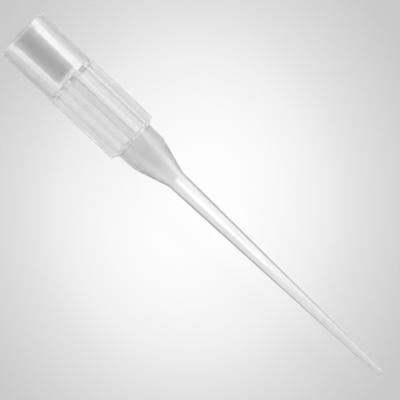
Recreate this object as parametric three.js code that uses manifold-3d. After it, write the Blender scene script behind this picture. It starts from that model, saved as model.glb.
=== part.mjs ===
// Pipette tip, extra-long 10 microlitre pattern: one moulding in natural polypropylene.
// Units are millimetres. Along the tip, "depth" is the distance from the rim of the collar.
// The finished tip lies on its side on the plane z = 0 with its point towards +X, and the
// origin is the centre of its footprint on that plane.

import * as THREE from 'three';
import { mergeVertices } from 'three/addons/utils/BufferGeometryUtils.js';
import Module from 'manifold-3d';

const wasm = await Module();
wasm.setup();

// ---- driving dimensions -------------------------------------------------------------

const tipLength = 46;

// collar: the smooth band that surrounds the pipette's nozzle
const collarLength = 6.2;
const rimDiameter = 5.43;
const collarTaper = 0.1; // how much the collar's diameter narrows towards the ribs
const rimEdgeRadius = 0.1;
const collarEndRun = 0.35; // length of the slope from the collar down to the floor of the grooves

// ribs: they stiffen the sleeve, and their lower ends sit on the rack
const ribCount = 12;
const ribbedLength = 7.95;
const ribsDiameter = 5.5; // over the tops of the ribs
const ribTopWidth = 0.6;
const ribDraft = 0.05; // how much each side of a rib spreads from its top to the sleeve
const ribEndLand = 0.3; // radial width of the flat seat on each rib's lower end
const ribEndRun = 0.3; // length of the slope from that seat down to the neck

// body below the ribs
const sleeveDiameter = 4.14;
const neckLength = 2.15; // from the ends of the ribs to the start of the cone
const neckTaper = 0.16; // how much the neck's diameter narrows towards the cone
const coneLength = 3.4;
const shaftTopDiameter = 1.9;
const pointDiameter = 0.66;
const shoulderRadius = 1.6; // rounding of the neck into the cone
const coneFootRadius = 1.2; // rounding of the cone into the shaft

// bores, from the rim to the point
const mouthChamfer = 0.1;
const socketDiameter = 2.34; // at its top
const socketTaper = 0.08; // how much the socket narrows, so that the nozzle wedges and seals
const socketDepth = 5.65; // from the rim to the step that stops the nozzle
const leadInClearance = 0.28; // how much wider the lead-in is than the socket's top
const leadInDepth = 0.4;
const leadInRun = 0.22; // length of the slope from the lead-in to the socket
const stopWidth = 0.09; // radial width of the step
const sleeveBoreTaper = 0.06;
const funnelLead = 2; // the bore starts to close this far before the cone does
const funnelLength = 2.2;
const capillaryTopDiameter = 0.94;
const orificeDiameter = 0.38;

// facets
const aroundSteps = 6 * ribCount; // a facet edge falls on the middle of every rib and groove
const arcStep = Math.PI / 12;
const overrun = 1; // how far a cut runs past the face that it cuts

// ---- sizes that follow --------------------------------------------------------------

const ribsEndDepth = collarLength + ribbedLength;
const coneDepth = ribsEndDepth + neckLength;
const shaftDepth = coneDepth + coneLength;
const rimRadius = rimDiameter / 2;
const collarEndRadius = (rimDiameter - collarTaper) / 2;
const ribsRadius = ribsDiameter / 2;
const sleeveRadius = sleeveDiameter / 2;
const neckRadius = (sleeveDiameter - neckTaper) / 2;
const leadInRadius = (socketDiameter + leadInClearance) / 2;
const socketEndRadius = (socketDiameter - socketTaper) / 2;
const stopRadius = socketEndRadius - stopWidth;
const sleeveBoreEndRadius = stopRadius - sleeveBoreTaper / 2;
const funnelDepth = coneDepth - funnelLead;

// ---- profiles -----------------------------------------------------------------------

// A corner of a profile in the plane of the axis, with the radius that rounds it.
const corner = (radius, depth, rounding = 0) => ({
  at: new THREE.Vector2(radius, depth),
  rounding,
});

// The points of a closed profile, with an arc at each rounded corner. An arc is limited to
// what the two sides that meet there can hold.
function profile(corners) {
  return corners.flatMap(({ at, rounding }, i) => {
    const before = corners.at(i - 1).at.clone().sub(at);
    const after = corners[(i + 1) % corners.length].at.clone().sub(at);
    const half = Math.acos(before.dot(after) / before.length() / after.length()) / 2;
    const room = Math.min(before.length(), after.length()) / 2;
    const setback = Math.min(rounding / Math.tan(half), room);
    if (setback === 0) return [at];
    const turn = Math.PI - 2 * half;
    const steps = Math.max(2, Math.ceil(turn / arcStep));
    const radius = setback * Math.tan(half);
    const middle = before.clone().normalize().add(after.clone().normalize()).normalize();
    const centre = middle.clone().multiplyScalar(radius / Math.sin(half)).add(at);
    const first = before.setLength(setback).add(at).sub(centre).angle();
    const way = Math.sign(after.cross(middle));
    return Array.from({ length: steps + 1 }, (_, k) => {
      const angle = first + (way * turn * k) / steps;
      return new THREE.Vector2(Math.cos(angle), Math.sin(angle)).multiplyScalar(radius).add(centre);
    });
  });
}

// A closed profile turned round the tip's axis, which is the geometry's Y axis.
function turned(corners) {
  const points = profile(corners);
  return new THREE.LatheGeometry([...points, points[0]], aroundSteps);
}

// ---- solids -------------------------------------------------------------------------

function solid(geometry) {
  const bare = geometry.clone();
  bare.deleteAttribute('normal');
  bare.deleteAttribute('uv');
  const merged = mergeVertices(bare, 1e-5);
  return new wasm.Manifold(new wasm.Mesh({
    numProp: 3,
    vertProperties: Float32Array.from(merged.attributes.position.array),
    triVerts: Uint32Array.from(merged.index.array),
  }));
}

function geometryOf(manifold) {
  const mesh = manifold.getMesh();
  const geometry = new THREE.BufferGeometry();
  geometry.setAttribute('position', new THREE.BufferAttribute(mesh.vertProperties, mesh.numProp));
  geometry.setIndex(new THREE.BufferAttribute(mesh.triVerts, 1));
  geometry.computeVertexNormals();
  return geometry;
}

// The outside of the collar, sleeve, neck, cone and shaft.
function outside() {
  return turned([
    corner(0, 0),
    corner(rimRadius, 0, rimEdgeRadius),
    corner(collarEndRadius, collarLength),
    corner(sleeveRadius, collarLength + collarEndRun),
    corner(sleeveRadius, ribsEndDepth),
    corner(neckRadius, coneDepth, shoulderRadius),
    corner(shaftTopDiameter / 2, shaftDepth, coneFootRadius),
    corner(pointDiameter / 2, tipLength),
    corner(0, tipLength),
  ]);
}

// The bore from the rim to the point. It runs out past both ends so that it cuts through.
function bore() {
  return turned([
    corner(0, -overrun),
    corner(leadInRadius + mouthChamfer + overrun, -overrun),
    corner(leadInRadius, mouthChamfer),
    corner(leadInRadius, leadInDepth),
    corner(socketDiameter / 2, leadInDepth + leadInRun),
    corner(socketEndRadius, socketDepth),
    corner(stopRadius, socketDepth),
    corner(sleeveBoreEndRadius, funnelDepth, coneFootRadius),
    corner(capillaryTopDiameter / 2, funnelDepth + funnelLength, coneFootRadius),
    corner(orificeDiameter / 2, tipLength),
    corner(orificeDiameter / 2, tipLength + overrun),
    corner(0, tipLength + overrun),
  ]);
}

// The section of all the ribs: a star whose points narrow outwards and run out past the
// tops of the ribs. It stays inside the sleeve between them.
function ribSection() {
  const inner = (stopRadius + sleeveRadius) / 2;
  const outer = ribsRadius + ribTopWidth;
  const spread = ribDraft / (ribsRadius - sleeveRadius);
  const halfWidth = (radius) => ribTopWidth / 2 + spread * (ribsRadius - radius);
  const points = Array.from({ length: ribCount }, (_, k) => {
    const direction = ((k + 0.5) * 2 * Math.PI) / ribCount;
    const across = [[inner, -1], [outer, -1], [outer, 1], [inner, 1]];
    return across.map(([radius, side]) =>
      new THREE.Vector2(radius, side * halfWidth(radius)).rotateAround(new THREE.Vector2(), direction));
  });
  return new THREE.Shape(points.flat());
}

// The ribs are that section, run from inside the collar to the rack seats and trimmed by
// a turned envelope: round on top, flat at each seat, and sloping from the seat to the neck.
function ribs() {
  const top = collarLength / 2;
  const star = new THREE.ExtrudeGeometry(ribSection(), { depth: tipLength, bevelEnabled: false });
  star.rotateX(-Math.PI / 2);
  const footDepth = ribsEndDepth + ribEndRun;
  const footRadius = sleeveRadius - ((neckTaper / 2) * ribEndRun) / neckLength;
  const envelope = turned([
    corner(0, top),
    corner(sleeveRadius, top),
    corner(sleeveRadius, collarLength),
    corner(ribsRadius, collarLength),
    corner(ribsRadius, ribsEndDepth),
    corner(ribsRadius - ribEndLand, ribsEndDepth),
    corner(footRadius, footDepth),
    corner(0, footDepth),
  ]);
  return solid(star).intersect(solid(envelope));
}

// ---- the part -----------------------------------------------------------------------

const polypropylene = new THREE.MeshStandardMaterial({
  color: 0xe9eced,
  roughness: 0.25,
  metalness: 0,
  transparent: true,
  opacity: 0.55,
});

const tip = new THREE.Mesh(geometryOf(solid(outside()).add(ribs()).subtract(solid(bore()))), polypropylene);
tip.name = 'pipette_tip';

// The tip rests on the two ribs beside its lowest groove, which hold the axis level. If the
// collar's rim or its other end reached further down than they do, the tip would lean on that
// and on the ribs' far ends, and the axis would tip by the rest angle.
const ribCornerAngle = Math.PI / ribCount - Math.asin(ribTopWidth / 2 / ribsRadius);
const ribReach = ribsRadius * Math.cos(ribCornerAngle);
const rimSlope = (rimRadius - ribReach) / ribsEndDepth;
const collarEndSlope = (collarEndRadius - ribReach) / ribbedLength;
const restAngle = Math.atan(Math.max(0, rimSlope, collarEndSlope));
tip.rotation.z = -Math.PI / 2;

const lying = new THREE.Group();
lying.rotation.y = restAngle;
lying.add(tip);

const part = new THREE.Group();
part.add(lying);

const box = new THREE.Box3().setFromObject(part, true);
const footprint = box.getCenter(new THREE.Vector3());
lying.position.set(-footprint.x, -footprint.y, -box.min.z);

export default part;
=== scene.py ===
import math

import bpy
from mathutils import Matrix, Vector


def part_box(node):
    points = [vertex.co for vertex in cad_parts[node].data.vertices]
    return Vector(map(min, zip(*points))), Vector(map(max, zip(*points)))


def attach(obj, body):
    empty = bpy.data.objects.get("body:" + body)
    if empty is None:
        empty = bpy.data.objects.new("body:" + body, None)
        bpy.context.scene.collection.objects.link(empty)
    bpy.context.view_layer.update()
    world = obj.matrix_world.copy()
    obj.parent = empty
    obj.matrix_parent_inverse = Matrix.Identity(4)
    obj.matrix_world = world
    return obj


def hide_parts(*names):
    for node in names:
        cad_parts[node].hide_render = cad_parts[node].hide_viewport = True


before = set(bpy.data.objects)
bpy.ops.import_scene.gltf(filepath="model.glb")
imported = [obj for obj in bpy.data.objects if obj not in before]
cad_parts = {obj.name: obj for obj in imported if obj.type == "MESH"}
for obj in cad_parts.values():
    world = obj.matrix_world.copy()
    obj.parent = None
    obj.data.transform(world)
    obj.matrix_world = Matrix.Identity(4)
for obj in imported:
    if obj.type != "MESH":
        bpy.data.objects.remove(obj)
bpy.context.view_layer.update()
mm = 0.001      # metres in a millimetre


def srgb(hexColour):
    # "#rrggbb" to the linear colour that a shader takes, by the sRGB curve
    parts = [int(hexColour[i:i + 2], 16) / 255 for i in (1, 3, 5)]
    return tuple(c / 12.92 if c <= 0.04045 else ((c + 0.055) / 1.055) ** 2.4 for c in parts) + (1,)


def emptyTree(owner):
    owner.use_nodes = True
    owner.node_tree.nodes.clear()
    return owner.node_tree


def addNode(tree, kind, settings=None, links=None):
    # settings: attributes by name, sockets by name or number, or the stops of a colour ramp
    # links: the output that feeds each socket
    node = tree.nodes.new(kind)
    for key, value in (settings or {}).items():
        if key == "stops":
            elements = node.color_ramp.elements
            elements.remove(elements[1])
            for k, (position, colour) in enumerate(value):
                stop = elements[0] if k == 0 else elements.new(position)
                stop.position, stop.color = position, colour
        elif isinstance(key, str) and hasattr(node, key):
            setattr(node, key, value)
        else:
            node.inputs[key].default_value = value
    for key, source in (links or {}).items():
        tree.links.new(source, node.inputs[key])
    return node


def deselectAll():
    for thing in bpy.context.selected_objects:
        thing.select_set(False)


def applyModifier(piece, kind, **settings):
    modifier = piece.modifiers.new(kind.lower(), kind)
    for key, value in settings.items():
        setattr(modifier, key, value)
    bpy.ops.object.modifier_apply(modifier=modifier.name)


def selectBy(piece, what, test):
    # in edit mode: leaves selected only the vertices or faces whose place passes the test
    bpy.ops.mesh.select_mode(type=what)
    bpy.ops.mesh.select_all(action='DESELECT')
    bpy.ops.object.mode_set(mode='OBJECT')
    if what == 'VERT':
        for vertex in piece.data.vertices:
            vertex.select = test(vertex.co)
    else:
        for face in piece.data.polygons:
            face.select = test(face.center)
    bpy.ops.object.mode_set(mode='EDIT')


def turnTo(x, y, z):
    # the rotation that points an object's own axes in these directions
    return Matrix((x, y, z)).transposed().to_euler()


# The tip is modelled in millimetres along X, with its rim at 0 and its axis on X, and is brought
# to its place at the end. Each corner of its section is (depth from the rim, radius, rounding).
tip = {
    "outside": {
        "rim": (0.0, 2.715, 0.1),
        "rimRing": (0.4, 2.7118, 0.0),          # the rings keep the shading flat on the long walls
        "collarRing": (5.9, 2.6674, 0.0),
        "collarEnd": (6.2, 2.665, 0.0),         # from here a slope leads down into each groove
        "grooveFloor": (6.55, 2.07, 0.0),
        "grooveRing": (6.85, 2.07, 0.0),
        "seatRing": (13.85, 2.07, 0.0),
        "seat": (14.15, 2.07, 0.0),             # the flat rib ends that sit on a rack
        "ribFoot": (14.45, 2.059, 0.0),
        "footRing": (14.75, 2.0478, 0.0),
        "neckRing": (16.0, 2.0012, 0.0),
        "neckEnd": (16.3, 1.99, 0.0),           # a crisp corner
        "coneRing": (16.6, 1.8982, 0.0),
        "coneEnd": (19.7, 0.95, 1.2),
        "shaftRing": (45.6, 0.3394, 0.0),
        "point": (46.0, 0.33, 0.03),
    },
    "inside": {
        "orifice": (46.0, 0.19, 0.02),
        "orificeRing": (45.7, 0.1928, 0.0),
        "funnelEnd": (16.5, 0.47, 1.2),         # where the capillary starts
        "funnelStart": (14.3, 1.01, 1.2),
        "sleeveRing": (5.95, 1.039, 0.0),
        "stepInner": (5.65, 1.04, 0.0),         # the step stops the nozzle
        "stepOuter": (5.65, 1.13, 0.02),
        "stepRing": (5.4, 1.132, 0.0),
        "socketRing": (1.1, 1.1662, 0.0),
        "socketStart": (0.62, 1.17, 0.1),
        "leadIn": (0.4, 1.31, 0.1),
        "mouthInner": (0.1, 1.31, 0.03),
        "mouth": (0.0, 1.41, 0.03),
    },
    "roundingSteps": 5,
    "roundingShare": 0.48,      # the most of a wall that a rounding takes up
    "ribCount": 12,
    "rib": {
        "rootWidth": 0.7, "topWidth": 0.6,
        "topRadius": 2.75,
        "seatRadius": 2.45,     # the flat seat lies outside this, and a slope inside it
        "columns": 14,          # faces across a rib
    },
    "grooveColumns": 4,         # faces across half a groove
    "edgeRadius": 0.035,        # mm
    "edgeSteps": 3,
    "edgeAngle": 28,            # degrees, edges sharper than this are rounded
    "smoothAngle": 40,          # degrees, edges flatter than this are shaded smooth
    "sameSpot": 0.002,          # mm, places nearer than this are the same
    "weld": 0.001,              # mm, doubles nearer than this are merged
    "angleSlack": 0.002,        # radians, takes in the vertices along a rib's foot
    "faceSag": 0.05,            # mm, more than a flat face's middle lies inside its corners' radius
}
tipLength = tip["outside"]["point"][0]


def atAngle(depth, radius, angle):
    return Vector((depth, radius * math.sin(angle), radius * math.cos(angle)))


def angleOf(place):
    return math.atan2(place.y, place.z)


def radiusOf(place):
    return math.hypot(place.y, place.z)


def near(a, b):
    return abs(a - b) < tip["sameSpot"]


def drawProfile(corners, angle):
    # one vertex extruded from corner to corner, closed, then rounded where a corner asks for it
    deselectAll()
    places = [atAngle(depth, radius, angle) for depth, radius, _ in corners]
    bpy.ops.mesh.primitive_plane_add(size=0.1, location=places[0])      # any size, it becomes a point
    piece = bpy.context.object
    bpy.ops.object.transform_apply(location=True, rotation=False, scale=False)
    bpy.ops.object.mode_set(mode='EDIT')
    bpy.ops.mesh.merge(type='CENTER')
    for a, b in zip(places, places[1:]):
        bpy.ops.mesh.extrude_region_move(TRANSFORM_OT_translate={"value": b - a})
    ends = (places[0], places[-1])
    selectBy(piece, 'VERT', lambda v: any((v - end).length < tip["weld"] for end in ends))
    bpy.ops.mesh.edge_face_add()
    for place, (_, _, rounding) in zip(places, corners):
        if rounding:
            selectBy(piece, 'VERT', lambda v: (v - place).length < tip["weld"])
            roundCorner(places, place, rounding)
    return piece


def roundCorner(places, place, rounding):
    # the bevel's offset is the distance along the walls, so the radius is turned into that
    i = places.index(place)
    before = places[i - 1] - place
    after = places[(i + 1) % len(places)] - place
    half = before.angle(after) / 2
    offset = min(rounding / math.tan(half), tip["roundingShare"] * min(before.length, after.length))
    bpy.ops.mesh.bevel(offset=offset, segments=tip["roundingSteps"], affect='VERTICES', clamp_overlap=False)


def raiseRib(piece, rootAngle):
    # rootAngle is half the angle that a rib's foot takes up on the sleeve
    rib = tip["rib"]
    start, collarRadius, _ = tip["outside"]["collarEnd"]
    end, base, _ = tip["outside"]["seat"]
    foot, footRadius, _ = tip["outside"]["ribFoot"]
    rise = rib["topRadius"] - base
    halfTop = rib["topWidth"] / 2
    narrowing = rib["topWidth"] / rib["rootWidth"]

    def overRib(place):
        inWidth = place.z > 0 and abs(angleOf(place)) < rootAngle + tip["angleSlack"]
        return inWidth and radiusOf(place) > base - tip["faceSag"]

    # the sleeve and the slope at the collar, raised and narrowed
    selectBy(piece, 'FACE', lambda f: overRib(f) and start < f.x < end)
    bpy.ops.mesh.extrude_region_move(TRANSFORM_OT_translate={"value": (0, 0, rise)})
    bpy.ops.transform.resize(value=(1, narrowing, 1), center_override=(0, 0, 0))

    # the front of the rib comes down to its top's height, just proud of the collar
    halfFront = collarRadius * math.sin(rootAngle) * narrowing
    selectBy(piece, 'VERT', lambda v: near(v.x, start) and v.z > collarRadius + rise / 2)
    bpy.ops.transform.translate(value=(0, 0, base - collarRadius))
    bpy.ops.transform.resize(value=(1, halfTop / halfFront, 1), center_override=(0, 0, 0))

    # the far end: a flat seat above, and below it a slope down to the neck
    selectBy(piece, 'FACE', lambda f: near(f.x, end) and f.z > base)
    bpy.ops.mesh.bisect(plane_co=(0, 0, rib["seatRadius"]), plane_no=(0, 0, 1))
    selectBy(piece, 'VERT', lambda v: near(v.x, end) and overRib(v) and near(radiusOf(v), base))
    bpy.ops.transform.translate(value=(foot - end, 0, 0))
    shrink = footRadius / base
    bpy.ops.transform.resize(value=(1, shrink, shrink), center_override=(0, 0, 0))
    selectBy(piece, 'VERT', lambda v: near(v.x, foot))
    bpy.ops.mesh.remove_doubles(threshold=tip["sameSpot"])


def makeTip():
    rib = tip["rib"]
    half = math.pi / tip["ribCount"]
    piece = drawProfile([*tip["outside"].values(), *tip["inside"].values()], -half)
    piece.name = piece.data.name = "pipetteTipMoulding"

    # one slice with the rib in its middle: half a groove, the rib's width, half a groove
    rootAngle = math.asin(rib["rootWidth"] / 2 / tip["outside"]["seat"][1])
    halfGroove = (half - rootAngle, tip["grooveColumns"])
    bpy.ops.mesh.select_all(action='SELECT')
    for angle, steps in (halfGroove, (2 * rootAngle, rib["columns"]), halfGroove):
        bpy.ops.mesh.spin(steps=steps, angle=angle, center=(0, 0, 0), axis=(1, 0, 0))
    raiseRib(piece, rootAngle)
    bpy.ops.mesh.select_all(action='SELECT')
    bpy.ops.mesh.normals_make_consistent(inside=False)
    bpy.ops.object.mode_set(mode='OBJECT')
    applyModifier(piece, 'BEVEL', width=tip["edgeRadius"], segments=tip["edgeSteps"],
                  limit_method='ANGLE', angle_limit=math.radians(tip["edgeAngle"]), use_clamp_overlap=False)
    print("slice with its rib:", len(piece.data.polygons), "faces")

    # the slices go all round and are welded, with a groove at the top and the bottom
    bpy.ops.object.mode_set(mode='EDIT')
    bpy.ops.mesh.select_all(action='SELECT')
    bpy.ops.mesh.spin(steps=tip["ribCount"] - 1, angle=2 * math.pi - 2 * half, dupli=True,
                      center=(0, 0, 0), axis=(1, 0, 0))
    bpy.ops.mesh.select_all(action='SELECT')
    bpy.ops.mesh.remove_doubles(threshold=tip["weld"])
    bpy.ops.transform.rotate(value=half, orient_axis='X', center_override=(0, 0, 0))
    bpy.ops.mesh.normals_make_consistent(inside=False)
    neckEnd, neckRadius, _ = tip["outside"]["neckEnd"]
    selectBy(piece, 'VERT', lambda v: near(v.x, neckEnd) and near(radiusOf(v), neckRadius))
    bpy.ops.mesh.mark_sharp()
    bpy.ops.object.mode_set(mode='OBJECT')

    # to its place: the CAD node's box gives the rim and the axis
    low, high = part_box("pipette_tip")
    piece.scale = (mm, mm, mm)
    piece.location = (low[0], (low[1] + high[1]) / 2, (low[2] + high[2]) / 2)
    bpy.ops.object.transform_apply(location=True, rotation=True, scale=True)
    bpy.ops.object.shade_smooth_by_angle(angle=math.radians(tip["smoothAngle"]))
    applyModifier(piece, 'WEIGHTED_NORMAL', keep_sharp=True)
    print("tip:", len(piece.data.polygons), "faces")
    return piece


# Natural polypropylene, injection moulded: clear with a slight haze, so it bends what lies behind
# it, shows its edges as soft grey lines that are partly painted shade, and takes a gentle gloss.
# What follows holds all over it.
polypropylene = {
    "index": 1.49,
    "edgeBlend": 0.15,                        # Layer Weight's blend, by which a wall counts as on edge
    "flowDetail": 3.0, "flowFineness": 0.45,  # of the noise that draws the flow lines
    "flowRange": (0.3, 0.7),                  # nearly all of that noise lies in here
}

# From the mould's polished steel: collar, neck, cone and shaft.
skin = {
    **polypropylene,
    # tint of the clear part at depths from the rim in mm: greyer at the neck and towards the point
    "tints": [(0.0, "#f6f6f6"), (6.2, "#f4f4f4"), (13.6, "#dadada"), (16.5, "#dadada"),
              (20.5, "#f4f4f4"), (34.0, "#f2f2f2"), (46.0, "#dadada")],
    # the tint for a wall seen on edge: partly the longer path through the wall, partly painted shade
    # that draws dark lines along the edges
    "edgeShadeTints": [(0.0, "#c4c4c4"), (14.0, "#cecece"), (16.5, "#c4c4c4"), (19.5, "#bcbcbc"),
                  (20.5, "#acacac"), (22.5, "#949494"), (32.0, "#a0a0a0"), (46.0, "#cccccc")],
    "edgeRange": (0.08, 0.2),                 # Layer Weight's facing over which the painted edge shade comes in
    "transmission": 0.68,
    "shaftTransmission": 0.46,                # the shaft looks a little cloudier
    "shaftRange": (17.5, 22.5),               # mm from the rim over which it becomes so
    "roughness": (0.06, 0.07),
    "flowLength": 2.4, "flowWidth": 0.35,     # mm, streaks where the melt ran along the tip
    "flowHeight": 0.0001,                     # mm
    "lampPass": 0.56,                         # how much light each surface lets on to what is below
}

# Where the ribs' slots were spark-eroded in the mould: a fine satin that blurs what lies behind
# it, so the ribs look softer than the collar.
ribSkin = {
    **polypropylene,
    "tints": [(0.0, "#f2f2f2")],
    # darker on edge: partly painted shade along the ribs' edges
    "edgeShadeTints": [(0.0, "#c6c6c6")],
    "edgeRange": (0.06, 0.3),
    "transmission": 0.7,
    "roughness": (0.17, 0.2),
    "flowLength": 2.4, "flowWidth": 0.35,
    "flowHeight": 0.0002,
    "lampPass": 0.8,
}

# Where the slots end, the cutter leaves its coarsest finish, so the slopes there are cloudier still.
grooveEnds = {
    **ribSkin,
    "tints": [(0.0, "#e2e2e2")],
    # darker on edge: partly painted shade along the slopes' edges
    "edgeShadeTints": [(0.0, "#d8d8d8")],
    "transmission": 0.4,
    "roughness": (0.2, 0.25),
}

# From a ground core pin: the bore keeps the pin's fine satin. The dark grey of the socket is partly
# the haze of the thick wall round it and partly painted shade, which stands in for the shadow under
# the collar seen through the plastic, and it gives the socket its smooth, dark inside.
bore = {
    **polypropylene,
    # the dark greys from 0.3 to 5.6 mm are partly painted shade inside the socket
    "tints": [(0.0, "#e0e0e0"), (0.12, "#e0e0e0"), (0.3, "#686868"), (5.6, "#828282"), (5.75, "#e4e4e4"),
              (6.5, "#f6f6f6"), (46.0, "#f4f4f4")],
    # lighter on edge in the socket, so its painted shade is darkest in the middle
    "edgeShadeTints": [(0.0, "#d8d8d8"), (5.65, "#d8d8d8"), (6.5, "#e2e2e2"), (46.0, "#dadada")],
    "edgeRange": (0.0, 0.22),
    "transmission": 0.94,
    "roughness": (0.06, 0.09),
    "flowLength": 0.12, "flowWidth": 1.2,     # mm, rings left by the pin's grinding
    "flowHeight": 0.0001,
    "lampPass": 0.6,
}


def mouldedPolypropylene(name, finish):
    material = bpy.data.materials.new(name)
    tree = emptyTree(material)
    place = addNode(tree, "ShaderNodeTexCoord").outputs["Object"]

    # flow lines, in the gloss and in the relief
    lengthwise, across = 1 / (finish["flowLength"] * mm), 1 / (finish["flowWidth"] * mm)
    stretched = addNode(tree, "ShaderNodeMapping", {"Scale": (lengthwise, across, across)},
                        {"Vector": place}).outputs[0]
    flow = addNode(tree, "ShaderNodeTexNoise", {
        "Scale": 1.0, "Detail": finish["flowDetail"], "Roughness": finish["flowFineness"],
    }, {"Vector": stretched}).outputs[0]
    flowLow, flowHigh = finish["flowRange"]
    smoothest, roughest = finish["roughness"]
    gloss = addNode(tree, "ShaderNodeMapRange", {
        "From Min": flowLow, "From Max": flowHigh, "To Min": smoothest, "To Max": roughest,
    }, {"Value": flow}).outputs[0]
    relief = addNode(tree, "ShaderNodeBump", {
        "Strength": 1.0, "Distance": finish["flowHeight"] * mm,
    }, {"Height": flow}).outputs[0]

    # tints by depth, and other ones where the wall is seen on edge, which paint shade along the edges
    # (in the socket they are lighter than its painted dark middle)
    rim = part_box("pipette_tip")[0][0]
    along = addNode(tree, "ShaderNodeSeparateXYZ", None, {0: place}).outputs[0]
    depth = addNode(tree, "ShaderNodeMapRange", {"From Min": rim, "From Max": rim + tipLength * mm},
                    {"Value": along}).outputs[0]
    tint, edgeShadeTint = [addNode(tree, "ShaderNodeValToRGB", {
        "stops": [(distance / tipLength, srgb(shade)) for distance, shade in finish[which]],
    }, {0: depth}).outputs[0] for which in ("tints", "edgeShadeTints")]
    facing = addNode(tree, "ShaderNodeLayerWeight", {"Blend": finish["edgeBlend"]}).outputs["Facing"]
    edgeStart, edgeFull = finish["edgeRange"]
    onEdge = addNode(tree, "ShaderNodeMapRange", {"From Min": edgeStart, "From Max": edgeFull},
                     {"Value": facing}).outputs[0]
    colour = addNode(tree, "ShaderNodeMix", {"data_type": 'RGBA'},
                     {0: onEdge, 6: tint, 7: edgeShadeTint}).outputs[2]

    links = {"Base Color": colour, "Roughness": gloss, "Normal": relief}
    if "shaftTransmission" in finish:
        start, end = finish["shaftRange"]
        links["Transmission Weight"] = addNode(tree, "ShaderNodeMapRange", {
            "From Min": rim + start * mm, "From Max": rim + end * mm,
            "To Min": finish["transmission"], "To Max": finish["shaftTransmission"],
        }, {"Value": along}).outputs[0]
    plastic = addNode(tree, "ShaderNodeBsdfPrincipled", {
        "IOR": finish["index"],
        "Transmission Weight": finish["transmission"],
    }, links).outputs[0]

    # lamps shine on through the plastic, so its shadow stays light
    passed = finish["lampPass"]
    passing = addNode(tree, "ShaderNodeBsdfTransparent", {"Color": (passed, passed, passed, 1)}).outputs[0]
    isShadow = addNode(tree, "ShaderNodeLightPath").outputs["Is Shadow Ray"]
    both = addNode(tree, "ShaderNodeMixShader", None, {0: isShadow, 1: plastic, 2: passing}).outputs[0]
    addNode(tree, "ShaderNodeOutputMaterial", None, {"Surface": both})
    return material


# Which faces take which finish, in mm. What is left over takes the skin.
zones = {
    "boreFrom": 0.2,                # depth, past the mouth's rounded edge
    "facesAxis": -0.3,              # cosine of normal to outward, below which a face looks at the axis
    "stepsWithin": (15, 1.35),      # depth and radius, for the bore's faces that don't look at the axis
    "ribsFrom": tip["outside"]["collarEnd"][0] - 0.02,      # depth, takes in the rounded edge there
    "ribsTo": tip["outside"]["ribFoot"][0],
    "ribsOutside": 2.0,             # radius
    "plainRibs": (6.62, 14.1),      # depths of ribSkin, with grooveEnds on both sides
}


def giveFinishes(piece):
    skinSlot, boreSlot, ribSlot, endSlot = range(4)
    piece.data.materials.clear()
    for name, finish in (("naturalPolypropyleneMoulded", skin),
                         ("naturalPolypropyleneSatinBore", bore),
                         ("naturalPolypropyleneRibSatin", ribSkin),
                         ("naturalPolypropyleneGrooveEnds", grooveEnds)):
        piece.data.materials.append(mouldedPolypropylene(name, finish))
    low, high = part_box("pipette_tip")
    axisHeight = (low[2] + high[2]) / 2
    stepDepth, stepRadius = zones["stepsWithin"]
    plainFrom, plainTo = zones["plainRibs"]
    for face in piece.data.polygons:
        depth = (face.center.x - low[0]) / mm
        outward = Vector((0, face.center.y, face.center.z - axisHeight))
        radius = outward.length / mm
        facesAxis = face.normal.dot(outward.normalized()) < zones["facesAxis"]
        if depth > zones["boreFrom"] and (facesAxis or (depth < stepDepth and radius < stepRadius)):
            face.material_index = boreSlot
        elif zones["ribsFrom"] < depth < zones["ribsTo"] and radius > zones["ribsOutside"]:
            face.material_index = ribSlot if plainFrom <= depth <= plainTo else endSlot
        else:
            face.material_index = skinSlot
    print("finishes given:", len(piece.data.materials))


studio = {
    "floorRadius": 3.0,             # metres
    "floorSides": 96,
    # what the camera sees of the floor, a painted pool of light: distance from the middle in mm, grey level
    "paintedPoolTones": [(0, "#fdfdfd"), (4.8, "#fcfcfc"), (9.0, "#f6f6f6"), (13.2, "#eeeeee"), (17.4, "#e0e0e0"),
                   (21.6, "#d4d4d4"), (25.8, "#c9c9c9"), (30.0, "#c6c6c6")],
    "toneCentre": (-0.85, -0.48),   # mm
    "toneTurn": 43.41,              # degrees, as far as the camera is rolled
    "toneShape": (0.9, 1.04),       # how wide and how high the painted pool of light is, as shares of its distances
    "floorGlow": 0.8,               # share of the floor's tone that is seen unshaded, near the tip
    "glowReach": (30.0, 60.0),      # mm over which that share grows to the whole
    "glowThrough": 0.3,             # the share through the plastic and in reflections
    "board": "#f4f4f4",             # what lights and reflections meet instead of those tones
    "boardRoughness": 0.9, "boardSpecular": 0.1,
    "worldStrength": 0.6,
    "backdrop": "#c6c6c6",
}


def raysIn(tree):
    # rays straight from the camera, and those that come off or through something glossy
    path = addNode(tree, "ShaderNodeLightPath").outputs
    through = addNode(tree, "ShaderNodeMath", {"operation": 'MAXIMUM'},
                      {0: path["Is Glossy Ray"], 1: path["Is Transmission Ray"]}).outputs[0]
    return path["Is Camera Ray"], through


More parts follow.
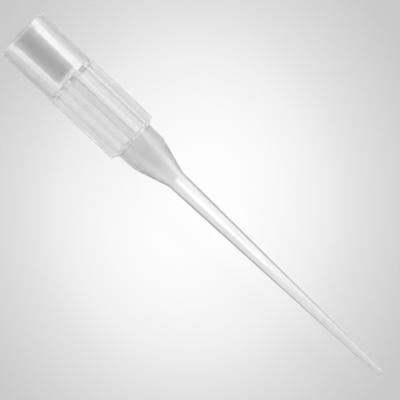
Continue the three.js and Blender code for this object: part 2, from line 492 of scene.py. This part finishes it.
def makeFloor():
    deselectAll()
    bpy.ops.mesh.primitive_circle_add(vertices=studio["floorSides"], radius=studio["floorRadius"],
                                      fill_type='NGON')
    floor = bpy.context.object
    floor.name = "studioFloor"
    material = bpy.data.materials.new("paintedBoard")
    tree = emptyTree(material)

    # an oval pool of light painted on the floor under the tip
    place = addNode(tree, "ShaderNodeTexCoord").outputs["Object"]
    centreX, centreY = studio["toneCentre"]
    centred = addNode(tree, "ShaderNodeMapping", {
        "vector_type": 'TEXTURE', "Location": (centreX * mm, centreY * mm, 0),
        "Rotation": (0, 0, math.radians(studio["toneTurn"])), "Scale": (*studio["toneShape"], 1),
    }, {"Vector": place}).outputs[0]
    distance = addNode(tree, "ShaderNodeVectorMath", {"operation": 'LENGTH'}, {0: centred}).outputs["Value"]
    reach = studio["paintedPoolTones"][-1][0]
    share = addNode(tree, "ShaderNodeMath", {"operation": 'MULTIPLY', 1: 1 / (reach * mm)},
                    {0: distance}).outputs[0]
    tone = addNode(tree, "ShaderNodeValToRGB", {
        "stops": [(far / reach, srgb(shade)) for far, shade in studio["paintedPoolTones"]],
    }, {0: share}).outputs[0]

    # the camera sees the painted pool, and the light on the tip comes off a plain pale board
    seen, through = raysIn(tree)
    paint = addNode(tree, "ShaderNodeMix", {"data_type": 'RGBA', 6: srgb(studio["board"])},
                    {0: seen, 7: tone}).outputs[2]
    board = addNode(tree, "ShaderNodeBsdfPrincipled", {
        "Roughness": studio["boardRoughness"], "Specular IOR Level": studio["boardSpecular"],
    }, {"Base Color": paint}).outputs[0]
    glow = addNode(tree, "ShaderNodeEmission", {"Strength": 1.0}, {"Color": paint}).outputs[0]
    glowStart, glowFull = studio["glowReach"]
    whole = addNode(tree, "ShaderNodeMapRange", {
        "From Min": glowStart * mm, "From Max": glowFull * mm, "To Min": studio["floorGlow"],
    }, {"Value": distance}).outputs[0]
    direct = addNode(tree, "ShaderNodeMath", {"operation": 'MULTIPLY'}, {0: seen, 1: whole}).outputs[0]
    amount = addNode(tree, "ShaderNodeMath", {"operation": 'MULTIPLY_ADD', 1: studio["glowThrough"]},
                     {0: through, 2: direct}).outputs[0]
    mixed = addNode(tree, "ShaderNodeMixShader", None, {0: amount, 1: board, 2: glow}).outputs[0]
    addNode(tree, "ShaderNodeOutputMaterial", None, {"Surface": mixed})
    floor.data.materials.append(material)


def lightWorld():
    # soft white light all round, seen as a plain grey backdrop
    world = bpy.data.worlds.new("studioWorld")
    bpy.context.scene.world = world
    tree = emptyTree(world)
    soft = addNode(tree, "ShaderNodeBackground", {
        "Color": (1, 1, 1, 1), "Strength": studio["worldStrength"],
    }).outputs[0]
    plain = addNode(tree, "ShaderNodeBackground", {
        "Color": srgb(studio["backdrop"]), "Strength": 1.0,
    }).outputs[0]
    direct, through = raysIn(tree)
    seen = addNode(tree, "ShaderNodeMath", {"operation": 'MAXIMUM'}, {0: direct, 1: through}).outputs[0]
    mixed = addNode(tree, "ShaderNodeMixShader", None, {0: seen, 1: soft, 2: plain}).outputs[0]
    addNode(tree, "ShaderNodeOutputWorld", None, {"Surface": mixed})


# Softboxes round the tip's axis. The angle is in degrees from straight up, towards +Y, the
# distance, the sizes and the shift along the tip are in metres, and the power is in watts.
lamps = {
    "left": {"angle": -60, "distance": 0.5, "length": 0.6, "width": 0.36, "power": 0.7, "shift": 0},
    "right": {"angle": 60, "distance": 0.5, "length": 0.6, "width": 0.36, "power": 1.7, "shift": 0},
    "strip": {"angle": 0, "distance": 0.3, "length": 0.02, "width": 0.3, "power": 0.125, "shift": 0.0265},
}


def hangLamp(name, softbox):
    turn = math.radians(softbox["angle"])
    light = bpy.data.lights.new(name, 'AREA')
    light.shape = 'RECTANGLE'
    light.size, light.size_y, light.energy = softbox["length"], softbox["width"], softbox["power"]
    lamp = bpy.data.objects.new(name, light)
    bpy.context.collection.objects.link(lamp)
    away = Vector((0, math.sin(turn), math.cos(turn)))
    along = Vector((1, 0, 0))
    lamp.location = away * softbox["distance"] + along * softbox["shift"]
    lamp.rotation_euler = turnTo(along, away.cross(along), away)


view = {
    "distance": 0.4,                # metres
    "tilt": 3.3,                    # degrees from straight down, about the tip's axis
    "roll": 43.41,                  # degrees, from the picture's level to the tip's axis
    "width": 37.20238,              # mm across at the tip's axis
    "aside": (-0.12556, 0.33482),   # mm right and up, from the tip's middle to what is in the centre
    "sensor": 36,                   # mm
    "clip": (0.01, 20),             # metres
}


def setCamera():
    low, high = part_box("pipette_tip")
    middle = Vector([(a + b) / 2 for a, b in zip(low, high)])
    tilt, roll = math.radians(view["tilt"]), math.radians(view["roll"])
    away = Vector((0, -math.sin(tilt), math.cos(tilt)))
    along = Vector((1, 0, 0))
    across = away.cross(along)
    right = along * math.cos(roll) + across * math.sin(roll)
    up = -along * math.sin(roll) + across * math.cos(roll)
    cameraData = bpy.data.cameras.new("camera")
    camera = bpy.data.objects.new("camera", cameraData)
    bpy.context.collection.objects.link(camera)
    toRight, upward = view["aside"]
    target = middle + (right * toRight + up * upward) * mm
    camera.location = target + away * view["distance"]
    camera.rotation_euler = turnTo(right, up, away)
    cameraData.sensor_width = view["sensor"]
    cameraData.lens = view["sensor"] * view["distance"] / (view["width"] * mm)
    cameraData.clip_start, cameraData.clip_end = view["clip"]
    bpy.context.scene.camera = camera


tipMoulding = makeTip()
giveFinishes(tipMoulding)
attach(tipMoulding, "root")
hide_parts("pipette_tip")
print("tip finished")

makeFloor()
lightWorld()
for name, softbox in lamps.items():
    hangLamp(name, softbox)
setCamera()
bpy.context.scene.view_settings.view_transform = 'Standard'
print("stage, lamps and camera set")
